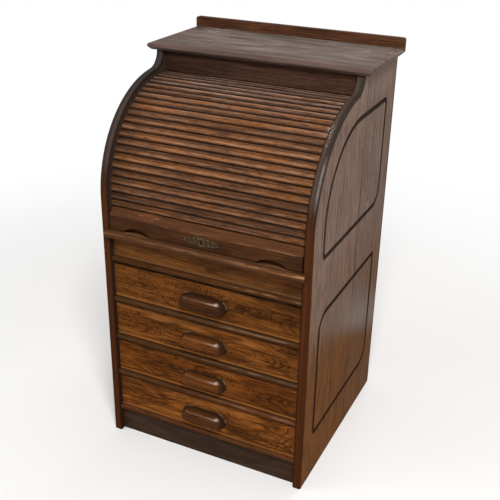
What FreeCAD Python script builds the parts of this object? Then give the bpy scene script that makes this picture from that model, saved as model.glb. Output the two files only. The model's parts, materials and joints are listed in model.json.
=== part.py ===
import FreeCAD, Part
import math
import os

from FreeCAD import Vector

# Cylinder desk in dark oak: a rolling curtain of slats over a writing bed, with four drawers below.
# Millimetres. X runs across the desk, Y from its front to its back, Z up from the floor.
# The origin is on the floor, at the middle of the whole width and depth.

# Carcass
carcass_width = 560.0
carcass_depth = 540.0
side_thickness = 22.0
side_edge_round = 5.0
side_inner_chamfer = 3.0
housing_depth = 6.0
neck_setback = 280.0
side_lip = 15.0

# Lines cut into the outer faces of the sides
line_margin_front = 71.0
line_margin_rear = 68.0
line_width = 15.0
line_depth = 4.0
line_small_round = 13.0
line_large_round = 45.0
lower_line_floor = 128.0
lower_line_height = 340.0
upper_line_above_bed = 11.5
upper_line_round = 210.0

# Plinth, bottom and back
plinth_height = 68.0
plinth_setback = 15.0
plinth_thickness = 18.0
bottom_thickness = 16.0
back_thickness = 9.0
back_rebate = 10.0
back_floor_gap = 30.0
back_board_count = 5
back_board_gap = 0.6
back_board_chamfer = 2.0

# Openings for the drawers, from the top one down, and the rails between them
drawer_opening_1 = 98.0
drawer_opening_2 = 97.0
drawer_opening_3 = 95.0
drawer_opening_4 = 100.0
rail_height = 16.0
rail_depth = 60.0
rail_setback = 4.0
rail_round = 6.0
runner_width = 22.0
stop_length = 30.0
stop_depth = 24.0
stop_height = 5.0
stop_offset = 150.0

# Apron, writing bed and its nosing
apron_height = 56.0
apron_thickness = 18.0
apron_setback = 15.0
bed_thickness = 18.0
nosing_reach = 14.0
nosing_lap = 9.0
nosing_round = 7.0

# Curtain of slats, which rolls round one axis
axis_above_bed = 80.0
slat_count = 23
slat_thickness = 10.0
slat_crown = 4.5
slat_gap = 0.5
tongue_thickness = 5.5
tongue_length = 8.0
curtain_clearance = 0.5
curtain_side_gap = 0.6
curtain_tuck = 11.0
curtain_tail_room = 31.0
groove_lead_angle = 1.5
canvas_thickness = 0.8

# Lift rail at the foot of the curtain
lift_rail_height = 58.0
lift_rail_thickness = 30.0
lift_rail_setback = 1.0
lift_rail_face_height = 41.0
lift_rail_gap = 0.8
lift_rail_end_gap = 2.5
lift_rail_edge_round = 3.0
scoop_width = 83.0
scoop_height = 17.0
scoop_depth = 12.0
scoop_offset = 180.0

# Lock in the lift rail
keyhole_rise = 21.5
keyhole_radius = 2.5
keyhole_slot_width = 2.4
keyhole_slot_drop = 7.0
lock_width = 56.0
lock_height = 36.0
lock_depth = 8.0
lock_rise = 12.0
bolt_width = 12.0
bolt_thickness = 4.0
bolt_hold = 16.0
bolt_retreat = 1.0
bolt_travel = 8.0
bolt_clearance = 0.4
strike_length = 44.0
strike_width = 14.0
strike_thickness = 1.5
mortise_room = 5.0

# Brass escutcheon, in round lobes each side of a boss; the shares are of half its length
escutcheon_length = 95.0
escutcheon_thickness = 1.6
escutcheon_boss_radius = 12.0
lobe_place_shares = (0.30, 0.60, 0.87)
lobe_radius_shares = (0.19, 0.17, 0.13)
lobe_lift_shares = (0.05, -0.06, 0.04)

# Fascia, top board and gallery
fascia_gap = 2.0
fascia_height = 53.0
fascia_thickness = 18.0
fascia_setback = 8.0
top_thickness = 17.0
top_end_overhang = 18.0
top_front_overhang = 14.0
top_edge_round = 6.0
top_under_chamfer = 8.0
gallery_rise = 26.0
gallery_thickness = 15.0
gallery_round = 6.0

# Drawers
drawer_setback = 10.0
drawer_gap = 1.0
drawer_front_thickness = 20.0
drawer_front_round = 1.5
drawer_side_gap = 1.5
drawer_side_thickness = 11.0
drawer_side_drop = 8.0
drawer_back_thickness = 10.0
drawer_back_drop = 6.0
drawer_back_room = 30.0
drawer_bottom_thickness = 5.0
drawer_bottom_rise = 8.0
drawer_groove_depth = 5.0
dovetail_count = 3
dovetail_lap = 6.0
dovetail_width_share = 0.52
dovetail_slope_share = 0.16

# Wooden pulls, hollowed from below for the fingers
handle_length = 130.0
handle_height = 36.0
handle_reach = 26.0
handle_drop = 2.0
handle_corner_round = 28.0
handle_edge_round = 9.0
handle_edge_steps = 2
handle_front_wall = 8.0
handle_top_wall = 12.0
handle_end_wall = 17.0
handle_hollow_round = 6.0

# Nest of pigeonholes on the writing bed
nest_clearance = 16.0
nest_side_gap = 1.0
nest_board_thickness = 8.0
nest_back_thickness = 5.0
nest_divider_thickness = 6.0
nest_front_share = 0.09
nest_back_share = 0.79
nest_lower_share = 0.51
nest_lower_bays = 3
nest_upper_bays = 5

# Overrun of every cutting shape past the face that it cuts, and how near two places count as the same
overrun = 5.0
same_place = 0.001

# Heights worked out from the sizes above
drawer_openings = (drawer_opening_1, drawer_opening_2, drawer_opening_3, drawer_opening_4)
drawer_count = len(drawer_openings)
bottom_top = plinth_height + bottom_thickness
apron_bottom = bottom_top + sum(drawer_openings) + drawer_count * rail_height
bed_bottom = apron_bottom + apron_height
bed_top = bed_bottom + bed_thickness
axis_height = bed_top + axis_above_bed
side_radius = carcass_depth / 2
curtain_radius = side_radius - side_lip
slat_back_radius = curtain_radius - slat_thickness
fascia_bottom = axis_height + curtain_radius + fascia_gap
side_top = fascia_bottom + fascia_height
top_surface = side_top + top_thickness

# Places across the depth: the front is the plane of the sides' front edges
front_overhang = max(handle_reach - drawer_setback, nosing_reach)
front = -(carcass_depth - front_overhang) / 2
back = front + carcass_depth
back_inner = back - back_thickness
axis_depth = front + side_radius
neck_front = front + neck_setback
fascia_face = neck_front + fascia_setback
drawer_face = front + drawer_setback
drawer_shoulder = drawer_face + drawer_front_thickness
drawer_rear = back_inner - drawer_back_room
lift_rail_face = front + lift_rail_setback
lift_rail_rear = lift_rail_face + lift_rail_thickness

# Places across the width
outer_half = carcass_width / 2
inner_half = outer_half - side_thickness

# Angles of the curtain, from level with the axis at the front, upwards and back
curtain_start_angle = math.degrees(math.asin((lift_rail_height - axis_above_bed) / curtain_radius))
curtain_end_angle = 90 + math.degrees(math.asin((fascia_face + curtain_tuck - axis_depth) / curtain_radius))
open_tail_angle = 180 + math.degrees(math.asin((axis_above_bed - curtain_tail_room) / slat_back_radius))
slat_angle = (curtain_end_angle - curtain_start_angle) / slat_count
slat_half_slope = math.tan(math.radians(slat_angle / 2))


def block(x0, x1, y0, y1, z0, z1):
    """A box between two corners."""
    return Part.makeBox(x1 - x0, y1 - y0, z1 - z0, Vector(x0, y0, z0))


def board(half_length, y0, y1, z0, z1):
    """A box that is centred across the desk."""
    return block(-half_length, half_length, y0, y1, z0, z1)


def prism(edges, x0, x1):
    """A closed outline, drawn in the plane across the depth, drawn out from x0 to x1."""
    face = Part.Face(Part.Wire(edges))
    face.translate(Vector(x0, 0, 0))
    return face.extrude(Vector(x1 - x0, 0, 0))


def polygon_edges(points):
    """Straight edges through the points, closed."""
    return [Part.LineSegment(a, b).toShape() for a, b in zip(points, points[1:] + points[:1])]


def arc_edge(start, middle, end):
    """A round edge through three points."""
    return Part.Arc(start, middle, end).toShape()


def line_edge(start, end):
    """A straight edge."""
    return Part.LineSegment(start, end).toShape()


def curtain_point(radius, angle):
    """A point round the curtain's axis, at an angle in degrees."""
    turn = math.radians(angle)
    return Vector(0, axis_depth - radius * math.cos(turn), axis_height + radius * math.sin(turn))


def curtain_sector(inner, outer, start, end, x0, x1):
    """Part of a ring round the curtain's axis."""
    middle = (start + end) / 2
    edges = [
        arc_edge(curtain_point(outer, start), curtain_point(outer, middle), curtain_point(outer, end)),
        line_edge(curtain_point(outer, end), curtain_point(inner, end)),
        arc_edge(curtain_point(inner, end), curtain_point(inner, middle), curtain_point(inner, start)),
        line_edge(curtain_point(inner, start), curtain_point(outer, start)),
    ]
    return prism(edges, x0, x1)


def edges_where(shape, test):
    """The edges of a shape whose boxes pass a test."""
    return [edge for edge in shape.Edges if test(edge.BoundBox)]


def level(a, b):
    """True where two places are the same."""
    return abs(a - b) < same_place


def save(node, shapes):
    """Write one node, from one solid or several separate ones."""
    shape = shapes[0] if len(shapes) == 1 else Part.makeCompound(shapes)
    shape.exportStep("parts/" + node + ".step")


# Carcass boards


def writing_bed_blank():
    return board(inner_half + housing_depth, front, back_inner, bed_bottom, bed_top)


def rounded_rail(half_length, y1, z0, z1):
    """A board with a rounded front edge, in the plane of the drawer rails."""
    y0 = front + rail_setback
    rail = board(half_length, y0, y1, z0, z1)
    long_edges = edges_where(rail, lambda box: level(box.YMax, y0) and level(box.ZMin, box.ZMax))
    return rail.makeFillet(rail_round, long_edges)


def bottom_board():
    """The bottom, which rests on the plinth and is housed in the sides."""
    return rounded_rail(inner_half + housing_depth, back_inner, plinth_height, bottom_top)


def back_space():
    """The rebated space that the back boards fill."""
    half = inner_half + back_rebate
    return board(half, back_inner, back, back_floor_gap, side_top)


def side_outline():
    """A side's outline: a straight front, a round over the curtain, and a hollow neck below the top."""
    axis = curtain_point(0, 0)
    neck_rise = side_top - axis_height
    neck_past_axis = neck_front - axis_depth
    beyond_round = neck_past_axis ** 2 + neck_rise ** 2 - side_radius ** 2
    neck_radius = beyond_round / (2 * (side_radius + neck_past_axis))
    neck_centre = Vector(0, neck_front - neck_radius, side_top)
    towards_axis = (axis - neck_centre).normalize()
    meeting = neck_centre + towards_axis * neck_radius
    meeting_angle = math.degrees(math.atan2(meeting.z - axis.z, axis.y - meeting.y))
    hollow_middle = neck_centre + (towards_axis + Vector(0, 1, 0)).normalize() * neck_radius
    foot = Vector(0, front, 0)
    spring = Vector(0, front, axis_height)
    neck_end = Vector(0, neck_front, side_top)
    rear_top = Vector(0, back, side_top)
    rear_foot = Vector(0, back, 0)
    return [
        line_edge(foot, spring),
        arc_edge(spring, curtain_point(side_radius, meeting_angle / 2), meeting),
        arc_edge(meeting, hollow_middle, neck_end),
        line_edge(neck_end, rear_top),
        line_edge(rear_top, rear_foot),
        line_edge(rear_foot, foot),
    ]


def corner_arc(corner, before, after, radius):
    """The start, middle and end of a round at a square corner between two directions."""
    start = corner + before * radius
    end = corner + after * radius
    centre = start + after * radius
    middle = centre - (before + after).normalize() * radius
    return start, middle, end


def rounded_path(x, y0, y1, z0, z1, rounds):
    """A closed rectangle on a side's face, with rounds front top, rear top, rear foot and front foot."""
    up = Vector(0, 0, 1)
    rearward = Vector(0, 1, 0)
    places = [
        (Vector(x, y0, z1), -up, rearward),
        (Vector(x, y1, z1), -rearward, -up),
        (Vector(x, y1, z0), up, -rearward),
        (Vector(x, y0, z0), rearward, up),
    ]
    arcs = [corner_arc(*place, radius) for place, radius in zip(places, rounds)]
    edges = []
    for arc, following in zip(arcs, arcs[1:] + arcs[:1]):
        edges.append(arc_edge(*arc))
        edges.append(line_edge(arc[2], following[0]))
    return edges


def cut_line(edges, x):
    """The cutter for a V-shaped line along a path on the outer face of the right side."""
    path = Part.Wire(edges[-1:] + edges[:-1])
    start = edges[-1].Vertexes[0].Point
    spread = line_width / 2 * (line_depth + overrun) / line_depth
    section = polygon_edges([
        Vector(x + overrun, start.y - spread, start.z),
        Vector(x + overrun, start.y + spread, start.z),
        Vector(x - line_depth, start.y, start.z),
    ])
    return path.makePipeShell([Part.Wire(section)], True, False)


def side_lines():
    """The two outlines that are cut into the outer face of the right side."""
    y0 = front + line_margin_front
    y1 = back - line_margin_rear
    lower_top = lower_line_floor + lower_line_height
    small = line_small_round
    large = line_large_round
    lower = rounded_path(outer_half, y0, y1, lower_line_floor, lower_top, (large, small, large, small))
    upper = rounded_path(
        outer_half, y0, y1, bed_top + upper_line_above_bed, axis_height + upper_line_round,
        (upper_line_round, small, large, small))
    return [cut_line(lower, outer_half), cut_line(upper, outer_half)]


def curtain_groove():
    """The groove in the right side's inner face that guides the slats' tongues."""
    return curtain_sector(
        slat_back_radius - curtain_clearance,
        slat_back_radius + tongue_thickness + curtain_clearance,
        curtain_start_angle - groove_lead_angle,
        open_tail_angle + groove_lead_angle,
        inner_half - overrun,
        inner_half + tongue_length + curtain_clearance)


def right_side():
    panel = prism(side_outline(), inner_half, outer_half)
    outer_edges = edges_where(
        panel, lambda box: level(box.XMin, outer_half) and box.YMax < neck_front + overrun)
    panel = panel.makeFillet(side_edge_round, outer_edges)
    inner_edges = edges_where(
        panel, lambda box: level(box.XMax, inner_half) and box.YMax < neck_front + overrun)
    panel = panel.makeChamfer(side_inner_chamfer, inner_edges)
    for cutter in [writing_bed_blank(), bottom_board(), back_space(), curtain_groove()] + side_lines():
        panel = panel.cut(cutter)
    return panel


def back_boards():
    """Upright boards with chamfered joints, in the rebates of the sides."""
    half = inner_half + back_rebate
    width = 2 * half / back_board_count
    boards = []
    for index in range(back_board_count):
        left = -half + index * width + (back_board_gap / 2 if index else 0)
        right = -half + (index + 1) * width - (back_board_gap / 2 if index < back_board_count - 1 else 0)
        plank = block(left, right, back_inner, back, back_floor_gap, side_top)
        joints = edges_where(
            plank, lambda box: level(box.XMin, box.XMax) and level(box.YMin, back))
        boards.append(plank.makeChamfer(back_board_chamfer, joints))
    return boards


def plinth():
    y0 = front + plinth_setback
    return board(inner_half, y0, y0 + plinth_thickness, 0, plinth_height)


def apron():
    y0 = front + apron_setback
    return board(inner_half, y0, y0 + apron_thickness, apron_bottom, bed_bottom)


def fascia():
    return board(inner_half, fascia_face, fascia_face + fascia_thickness, fascia_bottom, side_top)


def bed_nosing():
    """The rounded strip along the bed's front edge, lapping over the sides."""
    strip = board(inner_half + nosing_lap, front - nosing_reach, front, bed_bottom, bed_top)
    long_edges = edges_where(
        strip, lambda box: level(box.YMax, front - nosing_reach) and level(box.ZMin, box.ZMax))
    return strip.makeFillet(nosing_round, long_edges)


def top_board():
    """The top, with a rounded upper edge and a bevel below along its front and ends."""
    rear = back - gallery_thickness
    y0 = neck_front - top_front_overhang
    slab = board(outer_half + top_end_overhang, y0, rear, side_top, top_surface)
    upper = edges_where(slab, lambda box: level(box.ZMin, top_surface) and box.YMin < rear - overrun)
    slab = slab.makeFillet(top_edge_round, upper)
    lower = edges_where(slab, lambda box: level(box.ZMax, side_top) and box.YMin < rear - overrun)
    return slab.makeChamfer(top_under_chamfer, lower)


def gallery():
    """The upright board behind the top, round at its upper corners; its ends carry on the top's bevel."""
    crest = top_surface + gallery_rise
    upright = board(outer_half + top_end_overhang, back - gallery_thickness, back, side_top, crest)
    upper = edges_where(upright, lambda box: level(box.ZMin, crest) and level(box.XMin, box.XMax))
    upright = upright.makeFillet(gallery_round, upper)
    lower = edges_where(upright, lambda box: level(box.ZMax, side_top) and level(box.XMin, box.XMax))
    return upright.makeChamfer(top_under_chamfer, lower)


# Drawer openings


def opening_floor(index):
    """The height of the floor of a drawer's opening, counted from the top drawer."""
    below = drawer_openings[index + 1:]
    return bottom_top + sum(below) + len(below) * rail_height


def drawer_rails():
    """One rail above each drawer."""
    y1 = front + rail_setback + rail_depth
    floors = [opening_floor(index) + opening for index, opening in enumerate(drawer_openings)]
    return [rounded_rail(inner_half, y1, floor, floor + rail_height) for floor in floors]


def drawer_guides():
    """Runners behind the rails at both sides, and the stops that each drawer's front closes against."""
    guides = []
    runner_start = front + rail_setback + rail_depth
    for index in range(drawer_count):
        floor = opening_floor(index)
        rail_bottom = floor + drawer_openings[index]
        for hand in (-1, 1):
            x0, x1 = sorted((hand * inner_half, hand * (inner_half - runner_width)))
            guides.append(block(x0, x1, runner_start, back_inner, rail_bottom, rail_bottom + rail_height))
            stop_middle = hand * stop_offset
            guides.append(block(
                stop_middle - stop_length / 2, stop_middle + stop_length / 2,
                drawer_shoulder, drawer_shoulder + stop_depth, floor, floor + stop_height))
    return guides


# Drawers


def drawer_bottom(floor):
    """The bottom, which slides into grooves in the sides and the front, below the back."""
    half = inner_half - drawer_side_gap - drawer_side_thickness + drawer_groove_depth
    z0 = floor + drawer_bottom_rise
    return board(half, drawer_shoulder - drawer_groove_depth, drawer_rear, z0, z0 + drawer_bottom_thickness)


def side_height(opening):
    return opening - drawer_gap - drawer_side_drop


def dovetails(floor, opening, x0, x1):
    """Tails at a drawer side's front end, which widen into the front."""
    tail_length = drawer_front_thickness - dovetail_lap
    pitch = side_height(opening) / dovetail_count
    half_neck = pitch * dovetail_width_share / 2
    half_end = half_neck + tail_length * dovetail_slope_share
    tails = []
    for index in range(dovetail_count):
        middle = floor + (index + 0.5) * pitch
        outline = polygon_edges([
            Vector(0, drawer_shoulder, middle - half_neck),
            Vector(0, drawer_shoulder, middle + half_neck),
            Vector(0, drawer_shoulder - tail_length, middle + half_end),
            Vector(0, drawer_shoulder - tail_length, middle - half_end),
        ])
        tails.append(prism(outline, x0, x1))
    return tails


def drawer_box(floor, opening):
    """The two sides, with their tails, and the back."""
    outer = inner_half - drawer_side_gap
    inner = outer - drawer_side_thickness
    top = floor + side_height(opening)
    bottom = drawer_bottom(floor)
    solids = []
    for hand in (-1, 1):
        x0, x1 = sorted((hand * outer, hand * inner))
        side = block(x0, x1, drawer_shoulder, drawer_rear, floor, top)
        side = side.multiFuse(dovetails(floor, opening, x0, x1)).removeSplitter()
        solids.append(side.cut(bottom))
    back_face = drawer_rear - drawer_back_thickness
    back_floor = floor + drawer_bottom_rise + drawer_bottom_thickness
    solids.append(board(inner, back_face, drawer_rear, back_floor, top - drawer_back_drop))
    return solids


def drawer_front(floor, opening):
    """The front, with a softened face, sockets for the tails and a groove for the bottom."""
    z0 = floor + drawer_gap
    z1 = floor + opening - drawer_gap
    panel = board(inner_half - drawer_gap, drawer_face, drawer_shoulder, z0, z1)
    face_edges = edges_where(panel, lambda box: level(box.YMax, drawer_face))
    panel = panel.makeFillet(drawer_front_round, face_edges)
    outer = inner_half - drawer_side_gap
    inner = outer - drawer_side_thickness
    cutters = dovetails(floor, opening, inner, outer) + dovetails(floor, opening, -outer, -inner)
    for cutter in cutters + [drawer_bottom(floor)]:
        panel = panel.cut(cutter)
    return panel


def handle_outline(y, foot, inset):
    """A pull's outline at one depth, flat below and round above, drawn in at its top and its ends."""
    half = handle_length / 2 - inset
    top = foot + handle_height - inset
    radius = handle_corner_round - inset
    rise = radius * math.sqrt(0.5)
    edges = []
    ends = []
    for hand in (-1, 1):
        spring = Vector(hand * half, y, top - radius)
        shoulder = Vector(hand * (half - radius), y, top)
        middle = Vector(hand * (half - radius + rise), y, top - radius + rise)
        toe = Vector(hand * half, y, foot)
        edges += [line_edge(toe, spring), arc_edge(spring, middle, shoulder)]
        ends.append((shoulder, toe))
    (left_shoulder, left_toe), (right_shoulder, right_toe) = ends
    edges += [line_edge(left_shoulder, right_shoulder), line_edge(right_toe, left_toe)]
    return Part.Wire(Part.__sortEdges__(edges))


def handle(floor, opening):
    """A pull with a round front edge, drawn in by steps, and a hollow below for the fingers."""
    foot = floor + opening / 2 - handle_drop - handle_height / 2
    tip = drawer_face - handle_reach
    outlines = [handle_outline(drawer_face, foot, 0)]
    for step in range(handle_edge_steps + 1):
        turn = math.radians(90 * step / handle_edge_steps)
        depth = tip + handle_edge_round * (1 - math.sin(turn))
        outlines.append(handle_outline(depth, foot, handle_edge_round * (1 - math.cos(turn))))
    pull = Part.makeLoft(outlines, True, True)
    hollow_front = tip + handle_front_wall
    hollow_top = foot + handle_height - handle_top_wall
    half = handle_length / 2 - handle_end_wall
    hollow = board(half, hollow_front, drawer_face + overrun, foot - overrun, hollow_top)
    upper_edge = edges_where(
        hollow, lambda box: level(box.YMax, hollow_front) and level(box.ZMin, hollow_top))
    return pull.cut(hollow.makeFillet(handle_hollow_round, upper_edge))


# Curtain


def slat_section(outer_points):
    """A slat's section, level with the axis: a flat back, edges along the radius, and what closes them."""
    half_back = slat_back_radius * slat_half_slope - slat_gap / 2
    back_low = Vector(0, axis_depth - slat_back_radius, axis_height - half_back)
    back_high = Vector(0, axis_depth - slat_back_radius, axis_height + half_back)
    low = outer_points[0]
    high = outer_points[-1]
    closing = arc_edge(*outer_points) if len(outer_points) == 3 else line_edge(low, high)
    return [line_edge(back_low, low), closing, line_edge(high, back_high), line_edge(back_high, back_low)]


def slat():
    """One slat at the level of the axis, with a crowned front and a thin tongue at each end."""
    shoulder_radius = curtain_radius - slat_crown
    half_shoulder = shoulder_radius * slat_half_slope - slat_gap / 2
    crowned = [
        Vector(0, axis_depth - shoulder_radius, axis_height - half_shoulder),
        Vector(0, axis_depth - curtain_radius, axis_height),
        Vector(0, axis_depth - shoulder_radius, axis_height + half_shoulder),
    ]
    tongue_radius = slat_back_radius + tongue_thickness
    half_tongue = tongue_radius * slat_half_slope - slat_gap / 2
    flat = [
        Vector(0, axis_depth - tongue_radius, axis_height - half_tongue),
        Vector(0, axis_depth - tongue_radius, axis_height + half_tongue),
    ]
    body_half = inner_half - curtain_side_gap
    tongue_half = inner_half + tongue_length
    body = prism(slat_section(crowned), -body_half, body_half)
    tongue = prism(slat_section(flat), -tongue_half, tongue_half)
    return body.fuse(tongue).removeSplitter()


def slats():
    """The slats in their places, from the lift rail up and back."""
    first = slat()
    placed = []
    for index in range(slat_count):
        angle = curtain_start_angle + (index + 0.5) * slat_angle
        placed.append(first.rotated(curtain_point(0, 0), Vector(1, 0, 0), -angle))
    return placed


def canvas():
    """The canvas glued to the slats' flat backs."""
    to_corner = math.cos(math.radians(slat_angle / 2))
    angles = [curtain_start_angle + index * slat_angle for index in range(slat_count + 1)]
    outer = [curtain_point(slat_back_radius / to_corner, angle) for angle in angles]
    inner = [curtain_point((slat_back_radius - canvas_thickness) / to_corner, angle) for angle in angles]
    half = inner_half - curtain_side_gap
    return prism(polygon_edges(outer + inner[::-1]), -half, half)


# Lift rail and lock


def keyhole(y0, y1):
    """A round hole with a slot below it."""
    z = bed_top + keyhole_rise
    hole = Part.makeCylinder(keyhole_radius, y1 - y0, Vector(0, y0, z), Vector(0, 1, 0))
    slot = board(keyhole_slot_width / 2, y0, y1, z - keyhole_slot_drop, z)
    return hole.fuse(slot)


def lock_space():
    """The space that the lock fills, let into the back of the lift rail."""
    z0 = bed_top + lock_rise
    return board(lock_width / 2, lift_rail_rear - lock_depth, lift_rail_rear, z0, z0 + lock_height)


def bolt_space(clearance, z0, z1):
    """A straight passage for the bolt, as wide as the bolt with a clearance all round."""
    middle = lift_rail_rear - lock_depth / 2
    half_thickness = bolt_thickness / 2 + clearance
    return board(bolt_width / 2 + clearance, middle - half_thickness, middle + half_thickness, z0, z1)


def lift_rail():
    """The stout bottom rail, bevelled back to the slats, with finger scoops and a lock let in behind."""
    z1 = bed_top + lift_rail_height - lift_rail_gap
    bevel_foot = bed_top + lift_rail_face_height
    outline = polygon_edges([
        Vector(0, lift_rail_face, bed_top),
        Vector(0, lift_rail_face, bevel_foot),
        Vector(0, front + side_lip, z1),
        Vector(0, lift_rail_rear, z1),
        Vector(0, lift_rail_rear, bed_top),
    ])
    half = inner_half - lift_rail_end_gap
    rail = prism(outline, -half, half)
    arris = edges_where(rail, lambda box: level(box.ZMin, bevel_foot) and level(box.ZMax, bevel_foot))
    rail = rail.makeFillet(lift_rail_edge_round, arris)
    scoop_radius = (scoop_width ** 2 / 4 + scoop_height ** 2) / (2 * scoop_height)
    scoop_centre = bed_top + scoop_height - scoop_radius
    for hand in (-1, 1):
        place = Vector(hand * scoop_offset, lift_rail_face - overrun, scoop_centre)
        rail = rail.cut(Part.makeCylinder(scoop_radius, scoop_depth + overrun, place, Vector(0, 1, 0)))
    rail = rail.cut(lock_space())
    rail = rail.cut(bolt_space(bolt_clearance, bed_top - overrun, bed_top + lock_rise))
    return rail.cut(keyhole(lift_rail_face - overrun, lift_rail_rear - lock_depth))


def lock_case():
    """The lock's case, with the passage that its bolt slides in."""
    z0 = bed_top + lock_rise
    return lock_space().cut(bolt_space(bolt_clearance, z0 - overrun, z0 + bolt_hold + bolt_clearance))


def lock_bolt():
    """The bolt, drawn up into the rail."""
    return bolt_space(0, bed_top + bolt_retreat, bed_top + lock_rise + bolt_hold)


def bolt_mortise():
    """The mortise in the bed, and in its plate, that the bolt drops into."""
    return bolt_space(bolt_clearance, bed_top - bolt_travel - mortise_room, bed_top + overrun)


def strike_space():
    """The shallow space in the bed that the strike plate fills, below the bolt."""
    y0 = lift_rail_rear - lock_depth / 2 - strike_width / 2
    return board(strike_length / 2, y0, y0 + strike_width, bed_top - strike_thickness, bed_top)


def escutcheon():
    """A thin plate of round lobes on the front of the lift rail, pierced by the keyhole."""
    z = bed_top + keyhole_rise
    y0 = lift_rail_face - escutcheon_thickness
    reach = escutcheon_length / 2
    rearward = Vector(0, 1, 0)
    plate = Part.makeCylinder(escutcheon_boss_radius, escutcheon_thickness, Vector(0, y0, z), rearward)
    lobes = []
    for place, radius, lift in zip(lobe_place_shares, lobe_radius_shares, lobe_lift_shares):
        for hand in (-1, 1):
            centre = Vector(hand * place * reach, y0, z + lift * reach)
            lobes.append(Part.makeCylinder(radius * reach, escutcheon_thickness, centre, rearward))
    plate = plate.multiFuse(lobes).removeSplitter()
    return plate.cut(keyhole(y0 - overrun, lift_rail_face + overrun))


# Nest of pigeonholes


def nest_sizes():
    """The nest's front, back and top, which clear the rolling curtain."""
    reach = slat_back_radius - canvas_thickness - nest_clearance
    y0 = axis_depth - nest_front_share * reach
    y1 = axis_depth + nest_back_share * reach
    z1 = axis_height + math.sqrt(1 - nest_back_share ** 2) * reach
    return y0, y1, z1


def nest_case():
    """Two ends, the top and the back of the nest."""
    y0, y1, z1 = nest_sizes()
    half = inner_half - nest_side_gap
    under_top = z1 - nest_board_thickness
    return [
        block(-half, -half + nest_board_thickness, y0, y1, bed_top, under_top),
        block(half - nest_board_thickness, half, y0, y1, bed_top, under_top),
        board(half, y0, y1, under_top, z1),
        board(half - nest_board_thickness, y1 - nest_back_thickness, y1, bed_top, under_top),
    ]


def bay_dividers(half, bays, y0, y1, z0, z1):
    """Upright dividers that part a row into equal bays."""
    pitch = 2 * half / bays
    places = [-half + index * pitch for index in range(1, bays)]
    half_divider = nest_divider_thickness / 2
    return [block(x - half_divider, x + half_divider, y0, y1, z0, z1) for x in places]


def nest_partitions():
    """The shelf, and the dividers below and above it."""
    y0, y1, z1 = nest_sizes()
    rear = y1 - nest_back_thickness
    half = inner_half - nest_side_gap - nest_board_thickness
    shelf_bottom = bed_top + nest_lower_share * (z1 - bed_top)
    shelf_top = shelf_bottom + nest_board_thickness
    pieces = [board(half, y0, rear, shelf_bottom, shelf_top)]
    pieces += bay_dividers(half, nest_lower_bays, y0, rear, bed_top, shelf_bottom)
    pieces += bay_dividers(half, nest_upper_bays, y0, rear, shelf_top, z1 - nest_board_thickness)
    return pieces


def main():
    os.makedirs("parts", exist_ok=True)
    side = right_side()
    save("right_side", [side])
    save("left_side", [side.mirror(Vector(0, 0, 0), Vector(1, 0, 0))])
    save("top_board", [top_board()])
    save("gallery", [gallery()])
    save("fascia", [fascia()])
    save("back_boards", back_boards())
    save("bottom_board", [bottom_board()])
    save("plinth", [plinth()])
    save("writing_bed", [writing_bed_blank().cut(strike_space()).cut(bolt_mortise())])
    save("bed_nosing", [bed_nosing()])
    save("apron", [apron()])
    save("drawer_rails", drawer_rails())
    save("drawer_guides", drawer_guides())
    save("strike_plate", [strike_space().cut(bolt_mortise())])
    save("nest_case", nest_case())
    save("nest_partitions", nest_partitions())
    for index, placed in enumerate(slats(), 1):
        save("slat_%02d" % index, [placed])
    save("curtain_canvas", [canvas()])
    save("lift_rail", [lift_rail()])
    save("lock_case", [lock_case()])
    save("lock_bolt", [lock_bolt()])
    save("escutcheon", [escutcheon()])
    for index, opening in enumerate(drawer_openings):
        floor = opening_floor(index)
        name = "drawer_%d_" % (index + 1)
        save(name + "front", [drawer_front(floor, opening)])
        save(name + "box", drawer_box(floor, opening))
        save(name + "bottom", [drawer_bottom(floor)])
        save(name + "handle", [handle(floor, opening)])


main()
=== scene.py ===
import json
import math

import bmesh
import bpy
from mathutils import Matrix, Vector


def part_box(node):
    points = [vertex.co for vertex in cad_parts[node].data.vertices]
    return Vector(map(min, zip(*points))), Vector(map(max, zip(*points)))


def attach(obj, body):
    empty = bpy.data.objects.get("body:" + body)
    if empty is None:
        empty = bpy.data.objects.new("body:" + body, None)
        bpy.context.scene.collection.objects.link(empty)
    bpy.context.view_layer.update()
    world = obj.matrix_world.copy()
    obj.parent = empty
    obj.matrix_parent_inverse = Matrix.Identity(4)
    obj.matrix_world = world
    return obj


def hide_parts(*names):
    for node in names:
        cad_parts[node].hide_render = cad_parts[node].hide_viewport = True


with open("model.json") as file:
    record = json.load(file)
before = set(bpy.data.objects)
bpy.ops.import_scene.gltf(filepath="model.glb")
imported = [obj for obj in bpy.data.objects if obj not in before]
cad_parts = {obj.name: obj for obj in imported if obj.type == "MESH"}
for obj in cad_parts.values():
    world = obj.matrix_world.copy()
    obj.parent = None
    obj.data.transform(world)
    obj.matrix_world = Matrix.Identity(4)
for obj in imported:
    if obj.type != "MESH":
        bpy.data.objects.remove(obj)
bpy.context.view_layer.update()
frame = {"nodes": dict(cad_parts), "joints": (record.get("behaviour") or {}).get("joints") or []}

# Cylinder desk in dark stained oak: a rolling curtain of slats over four drawers.
# Metres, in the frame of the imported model: the front faces -Y and Z is up.

nodes = frame["nodes"]
scene = bpy.context.scene
millimetre = 0.001
white = (1.0, 1.0, 1.0, 1.0)
drawer_count = 4
slat_count = 23
slat_names = ["slat_%02d" % (index + 1) for index in range(slat_count)]

# The sides' outline: a straight front, a round about the curtain's axis and a hollow neck below the top
side_low, side_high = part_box("right_side")
front = side_low.y
outer_half = side_high.x
curtain_joint = [joint for joint in frame["joints"] if joint["name"] == "tambour_roll"][0]
axis_y, axis_z = curtain_joint["pos_m"][1:]
side_radius = 0.270
neck_setback = 0.010
neck_rise = side_high.z - axis_z
neck_radius = (neck_setback ** 2 + neck_rise ** 2 - side_radius ** 2) / (2 * (side_radius + neck_setback))
neck_y = axis_y + neck_setback - neck_radius
neck_z = side_high.z

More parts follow.
